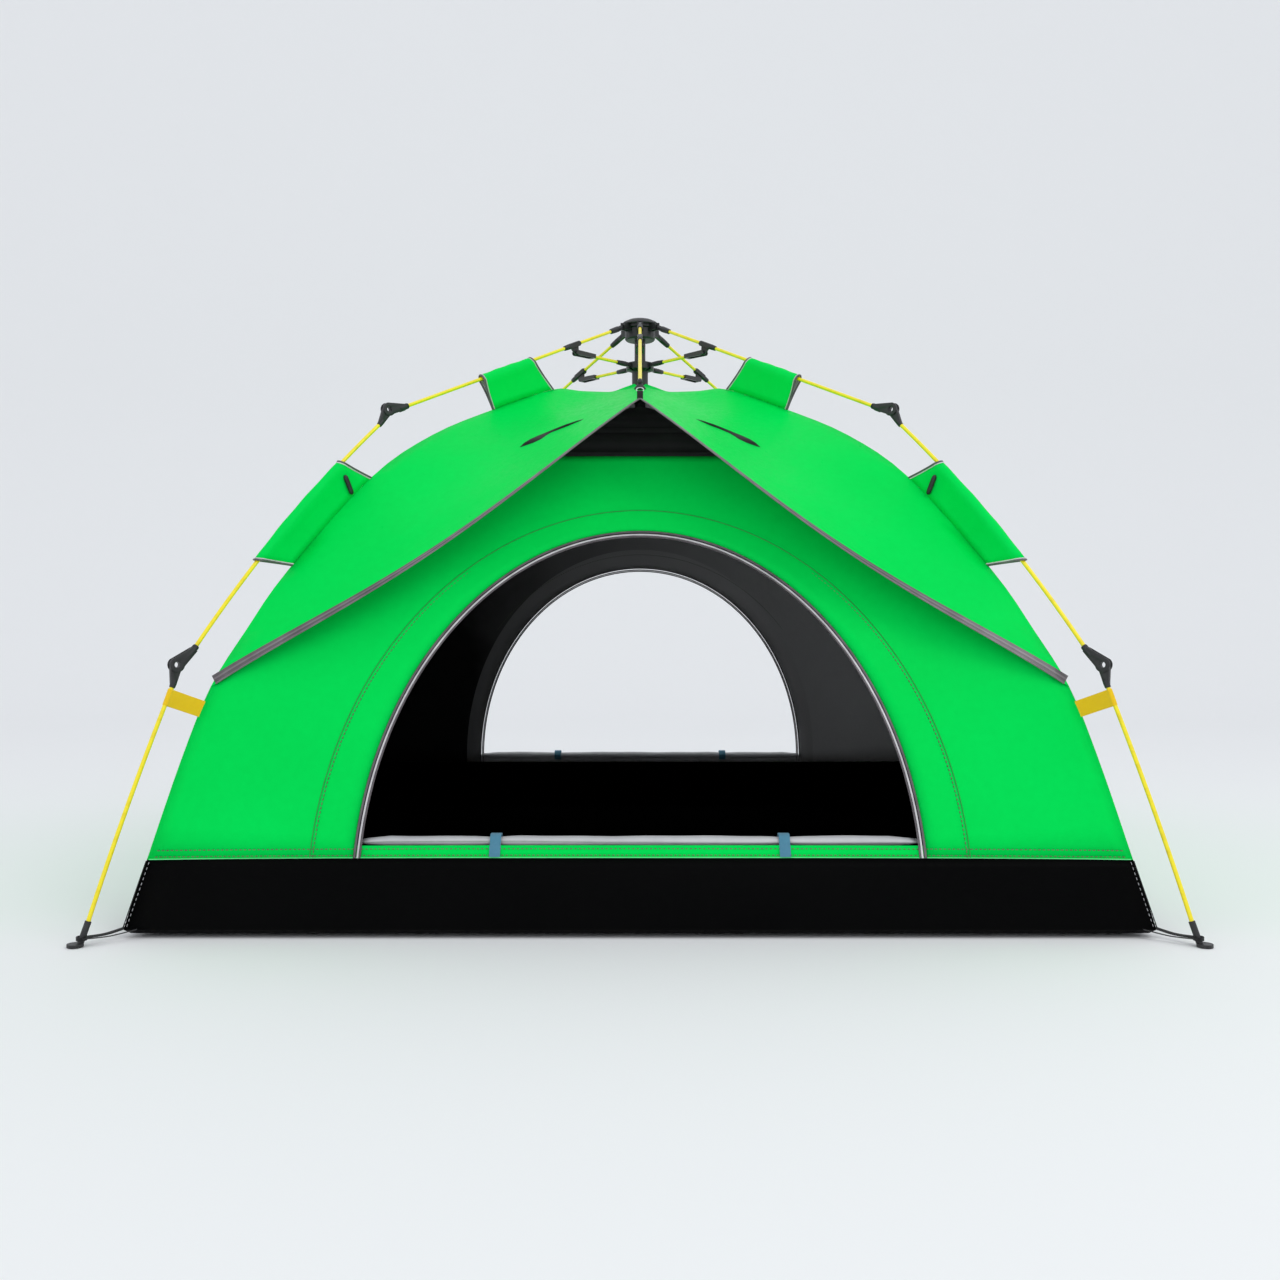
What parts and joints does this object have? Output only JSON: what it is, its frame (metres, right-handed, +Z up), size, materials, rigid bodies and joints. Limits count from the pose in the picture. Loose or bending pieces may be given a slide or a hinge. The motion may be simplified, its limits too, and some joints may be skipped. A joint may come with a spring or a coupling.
{
  "type": "pop-up tent",
  "caption": "Pop-up dome tent hung under an umbrella-style pole frame with hub, folding ribs, one-way knees and arched doors front and rear.",
  "frame": {"origin": "on the ground under the hub, at the centre of the floor", "axes": "+Z up, -Y out of the front door, +X to the right seen from the front"},
  "size_m": [2.1584, 2.1584, 1.4631],
  "materials": {
    "canopy_cloth": "bright green coated polyester, fine plain weave, soft sheen",
    "floor_cloth": "black coated polyester, slightly glossy",
    "mesh_cloth": "black fine insect mesh",
    "silver_cloth": "silver-coated inside of the cloth, rolled",
    "rod": "bright yellow glass-fibre rod, satin",
    "black_plastic": "black moulded nylon, satin"
  },
  "bodies": {
    "floor_and_canopy": {"tub_floor": "floor_cloth", "canopy_front": "canopy_cloth", "canopy_rear": "canopy_cloth", "side_wall_left": "canopy_cloth", "side_wall_right": "canopy_cloth", "door_panel_front": "canopy_cloth", "door_panel_rear": "canopy_cloth", "vent_mesh_front": "mesh_cloth", "vent_mesh_rear": "mesh_cloth", "door_roll_front": "silver_cloth", "door_roll_rear": "silver_cloth"},
    "hub": {"hub_body": "black_plastic", "post": "black_plastic"},
    "runner": {"runner": "black_plastic"},
    "rib_front_right": {"rib_front_right": "rod", "collar_front_right": "black_plastic", "upper_knee_fork_front_right": "black_plastic"},
    "middle_front_right": {"upper_knee_tongue_front_right": "black_plastic", "middle_rod_front_right": "rod", "lower_knee_fork_front_right": "black_plastic"},
    "lower_front_right": {"lower_knee_tongue_front_right": "black_plastic", "lower_rod_front_right": "rod", "foot_front_right": "black_plastic"},
    "strut_front_right": {"strut_front_right": "rod"},
    "rib_rear_right": {"rib_rear_right": "rod", "collar_rear_right": "black_plastic", "upper_knee_fork_rear_right": "black_plastic"},
    "middle_rear_right": {"upper_knee_tongue_rear_right": "black_plastic", "middle_rod_rear_right": "rod", "lower_knee_fork_rear_right": "black_plastic"},
    "lower_rear_right": {"lower_knee_tongue_rear_right": "black_plastic", "lower_rod_rear_right": "rod", "foot_rear_right": "black_plastic"},
    "strut_rear_right": {"strut_rear_right": "rod"},
    "rib_rear_left": {"rib_rear_left": "rod", "collar_rear_left": "black_plastic", "upper_knee_fork_rear_left": "black_plastic"},
    "middle_rear_left": {"upper_knee_tongue_rear_left": "black_plastic", "middle_rod_rear_left": "rod", "lower_knee_fork_rear_left": "black_plastic"},
    "lower_rear_left": {"lower_knee_tongue_rear_left": "black_plastic", "lower_rod_rear_left": "rod", "foot_rear_left": "black_plastic"},
    "strut_rear_left": {"strut_rear_left": "rod"},
    "rib_front_left": {"rib_front_left": "rod", "collar_front_left": "black_plastic", "upper_knee_fork_front_left": "black_plastic"},
    "middle_front_left": {"upper_knee_tongue_front_left": "black_plastic", "middle_rod_front_left": "rod", "lower_knee_fork_front_left": "black_plastic"},
    "lower_front_left": {"lower_knee_tongue_front_left": "black_plastic", "lower_rod_front_left": "rod", "foot_front_left": "black_plastic"},
    "strut_front_left": {"strut_front_left": "rod"},
    "rib_front": {"awning_rib_front": "rod", "collar_front": "black_plastic"},
    "strut_front": {"strut_front": "rod"},
    "rib_rear": {"awning_rib_rear": "rod", "collar_rear": "black_plastic"},
    "strut_rear": {"strut_rear": "rod"}
  },
  "joints": [
    {"name": "hub_drop", "type": "slide", "parent": "floor_and_canopy", "child": "hub", "axis": [0, 0, -1], "range_m": [0, 0.48], "deforming": ["tub_floor", "canopy_front", "canopy_rear", "side_wall_left", "side_wall_right", "door_panel_front", "door_panel_rear", "vent_mesh_front", "vent_mesh_rear", "door_roll_front", "door_roll_rear"]},
    {"name": "runner_slide", "type": "slide", "parent": "hub", "child": "runner", "axis": [0, 0, -1], "range_m": [0, 0.30501]},
    {"name": "rib_fold_front_right", "type": "hinge", "parent": "hub", "child": "rib_front_right", "pos_m": [0.04101, -0.04101, 1.4331], "axis": [0.7071, 0.7071, 0], "range_deg": [0, 64.01]},
    {"name": "upper_knee_front_right", "type": "hinge", "parent": "rib_front_right", "child": "middle_front_right", "pos_m": [0.57629, -0.57629, 1.1051], "axis": [-0.7071, -0.7071, 0], "range_deg": [0, 165.01]},
    {"name": "lower_knee_front_right", "type": "hinge", "parent": "middle_front_right", "child": "lower_front_right", "pos_m": [0.92631, -0.92631, 0.5286], "axis": [-0.7071, -0.7071, 0], "range_deg": [0, 190.01]},
    {"name": "strut_fold_front_right", "type": "hinge", "parent": "runner", "child": "strut_front_right", "pos_m": [0.02334, -0.02334, 1.3311], "axis": [-0.7071, -0.7071, 0], "range_deg": [0, 90.51]},
    {"name": "rib_fold_rear_right", "type": "hinge", "parent": "hub", "child": "rib_rear_right", "pos_m": [0.04101, 0.04101, 1.4331], "axis": [-0.7071, 0.7071, 0], "range_deg": [0, 64.01]},
    {"name": "upper_knee_rear_right", "type": "hinge", "parent": "rib_rear_right", "child": "middle_rear_right", "pos_m": [0.57629, 0.57629, 1.1051], "axis": [0.7071, -0.7071, 0], "range_deg": [0, 165.01]},
    {"name": "lower_knee_rear_right", "type": "hinge", "parent": "middle_rear_right", "child": "lower_rear_right", "pos_m": [0.92631, 0.92631, 0.5286], "axis": [0.7071, -0.7071, 0], "range_deg": [0, 190.01]},
    {"name": "strut_fold_rear_right", "type": "hinge", "parent": "runner", "child": "strut_rear_right", "pos_m": [0.02334, 0.02334, 1.3311], "axis": [0.7071, -0.7071, 0], "range_deg": [0, 90.51]},
    {"name": "rib_fold_rear_left", "type": "hinge", "parent": "hub", "child": "rib_rear_left", "pos_m": [-0.04101, 0.04101, 1.4331], "axis": [-0.7071, -0.7071, 0], "range_deg": [0, 64.01]},
    {"name": "upper_knee_rear_left", "type": "hinge", "parent": "rib_rear_left", "child": "middle_rear_left", "pos_m": [-0.57629, 0.57629, 1.1051], "axis": [0.7071, 0.7071, 0], "range_deg": [0, 165.01]},
    {"name": "lower_knee_rear_left", "type": "hinge", "parent": "middle_rear_left", "child": "lower_rear_left", "pos_m": [-0.92631, 0.92631, 0.5286], "axis": [0.7071, 0.7071, 0], "range_deg": [0, 190.01]},
    {"name": "strut_fold_rear_left", "type": "hinge", "parent": "runner", "child": "strut_rear_left", "pos_m": [-0.02334, 0.02334, 1.3311], "axis": [0.7071, 0.7071, 0], "range_deg": [0, 90.51]},
    {"name": "rib_fold_front_left", "type": "hinge", "parent": "hub", "child": "rib_front_left", "pos_m": [-0.04101, -0.04101, 1.4331], "axis": [0.7071, -0.7071, 0], "range_deg": [0, 64.01]},
    {"name": "upper_knee_front_left", "type": "hinge", "parent": "rib_front_left", "child": "middle_front_left", "pos_m": [-0.57629, -0.57629, 1.1051], "axis": [-0.7071, 0.7071, 0], "range_deg": [0, 165.01]},
    {"name": "lower_knee_front_left", "type": "hinge", "parent": "middle_front_left", "child": "lower_front_left", "pos_m": [-0.92631, -0.92631, 0.5286], "axis": [-0.7071, 0.7071, 0], "range_deg": [0, 190.01]},
    {"name": "strut_fold_front_left", "type": "hinge", "parent": "runner", "child": "strut_front_left", "pos_m": [-0.02334, -0.02334, 1.3311], "axis": [-0.7071, 0.7071, 0], "range_deg": [0, 90.51]},
    {"name": "rib_fold_front", "type": "hinge", "parent": "hub", "child": "rib_front", "pos_m": [0, -0.058, 1.4331], "axis": [1, 0, 0], "range_deg": [0, 64.01]},
    {"name": "strut_fold_front", "type": "hinge", "parent": "runner", "child": "strut_front", "pos_m": [0, -0.033, 1.3311], "axis": [-1, 0, 0], "range_deg": [0, 90.51]},
    {"name": "rib_fold_rear", "type": "hinge", "parent": "hub", "child": "rib_rear", "pos_m": [0, 0.058, 1.4331], "axis": [-1, 0, 0], "range_deg": [0, 64.01]},
    {"name": "strut_fold_rear", "type": "hinge", "parent": "runner", "child": "strut_rear", "pos_m": [0, 0.033, 1.3311], "axis": [1, 0, 0], "range_deg": [0, 90.51]}
  ],
  "couplings": [
    {"joint": "runner_slide", "follows": "hub_drop", "ratio": 0.63542},
    {"joint": "rib_fold_front_right", "follows": "hub_drop", "rad_per_m": 2.3271},
    {"joint": "upper_knee_front_right", "follows": "hub_drop", "rad_per_m": 5.9996},
    {"joint": "lower_knee_front_right", "follows": "hub_drop", "rad_per_m": 6.9086},
    {"joint": "strut_fold_front_right", "follows": "hub_drop", "rad_per_m": 3.2907},
    {"joint": "rib_fold_rear_right", "follows": "hub_drop", "rad_per_m": 2.3271},
    {"joint": "upper_knee_rear_right", "follows": "hub_drop", "rad_per_m": 5.9996},
    {"joint": "lower_knee_rear_right", "follows": "hub_drop", "rad_per_m": 6.9086},
    {"joint": "strut_fold_rear_right", "follows": "hub_drop", "rad_per_m": 3.2907},
    {"joint": "rib_fold_rear_left", "follows": "hub_drop", "rad_per_m": 2.3271},
    {"joint": "upper_knee_rear_left", "follows": "hub_drop", "rad_per_m": 5.9996},
    {"joint": "lower_knee_rear_left", "follows": "hub_drop", "rad_per_m": 6.9086},
    {"joint": "strut_fold_rear_left", "follows": "hub_drop", "rad_per_m": 3.2907},
    {"joint": "rib_fold_front_left", "follows": "hub_drop", "rad_per_m": 2.3271},
    {"joint": "upper_knee_front_left", "follows": "hub_drop", "rad_per_m": 5.9996},
    {"joint": "lower_knee_front_left", "follows": "hub_drop", "rad_per_m": 6.9086},
    {"joint": "strut_fold_front_left", "follows": "hub_drop", "rad_per_m": 3.2907},
    {"joint": "rib_fold_front", "follows": "hub_drop", "rad_per_m": 2.3271},
    {"joint": "strut_fold_front", "follows": "hub_drop", "rad_per_m": 3.2907},
    {"joint": "rib_fold_rear", "follows": "hub_drop", "rad_per_m": 2.3271},
    {"joint": "strut_fold_rear", "follows": "hub_drop", "rad_per_m": 3.2907}
  ]
}
